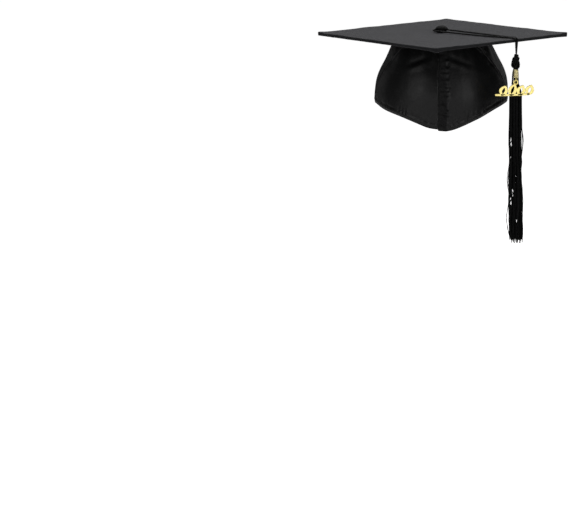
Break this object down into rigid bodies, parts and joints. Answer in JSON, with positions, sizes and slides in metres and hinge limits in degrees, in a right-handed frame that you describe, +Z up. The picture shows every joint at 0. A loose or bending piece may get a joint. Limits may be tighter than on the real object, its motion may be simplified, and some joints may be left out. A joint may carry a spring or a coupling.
{
  "type": "graduation cap",
  "caption": "Black mortarboard with a covered square board, soft pointed skull cap with elastic back, centre button and a corded tassel with a gold leaf charm.",
  "frame": {"origin": "centre of the head opening, level with the rim at the sides of the head", "axes": "+Z up through the board, -Y to the front corner of the board and the point of the skull cap, +X to the wearer's left as seen from the front's right"},
  "size_m": [0.3384, 0.3384, 0.2784],
  "materials": {
    "board_cloth": "matte plain-weave polyester glued over the board",
    "chipboard": "raw grey-brown chipboard",
    "button_plastic": "moulded core, hidden",
    "button_metal": "plain pressed steel",
    "cap_satin": "black satin with a soft sheen",
    "interlining": "stiff fusible interlining",
    "sweatband_cloth": "black cotton twill",
    "elastic": "knitted elastic",
    "label_cloth": "blank white woven label",
    "tassel_cord": "twisted black rayon cord",
    "tassel_yarn": "black rayon yarn",
    "gold_metal": "bright gold plate"
  },
  "bodies": {
    "cap": {"board_core": "chipboard", "board_cover": "board_cloth", "board_underside_lining": "board_cloth", "button_core": "button_plastic", "button_cover": "board_cloth", "button_shank": "button_metal", "button_backplate": "button_metal", "crown_top": "cap_satin", "front_panel_left": "cap_satin", "front_panel_right": "cap_satin", "back_panel_left": "cap_satin", "back_panel_right": "cap_satin", "front_seam_allowance": "cap_satin", "back_seam_allowance": "cap_satin", "side_seam_allowance_left": "cap_satin", "side_seam_allowance_right": "cap_satin", "front_interlining_left": "interlining", "front_interlining_right": "interlining", "front_hem_facing": "cap_satin", "sweatband": "sweatband_cloth", "elastic_casing": "cap_satin", "elastic_band": "elastic", "size_label": "label_cloth"},
    "cord_lying": {"tassel_cord_lying": "tassel_cord"},
    "cord_hanging": {"tassel_cord_hanging": "tassel_cord"},
    "tassel": {"tassel_knot": "tassel_cord", "tassel_neck": "tassel_yarn", "neck_coil": "gold_metal", "jump_ring": "gold_metal", "tassel_fringe": "tassel_yarn"},
    "charm": {"leaf_charm": "gold_metal"}
  },
  "joints": [
    {"name": "tassel_swivel", "type": "hinge", "parent": "cap", "child": "cord_lying", "pos_m": [0, 0, 0.0948], "axis": [0, 0, 1], "continuous": true, "deforming": ["tassel_cord_lying", "tassel_cord_hanging"]},
    {"name": "tassel_swing", "type": "hinge", "parent": "cord_lying", "child": "cord_hanging", "pos_m": [0.1014, -0.07184, 0.0915], "axis": [-0.7071, -0.7071, 0], "range_deg": [-3, 90]},
    {"name": "tassel_twist", "type": "hinge", "parent": "cord_hanging", "child": "tassel", "pos_m": [0.1014, -0.07184, 0.074], "axis": [0, 0, 1], "range_deg": [-45, 45]},
    {"name": "charm_swing", "type": "hinge", "parent": "tassel", "child": "charm", "pos_m": [0.1014, -0.083, 0.0406], "axis": [-1, 0, 0], "range_deg": [0, 75]}
  ]
}
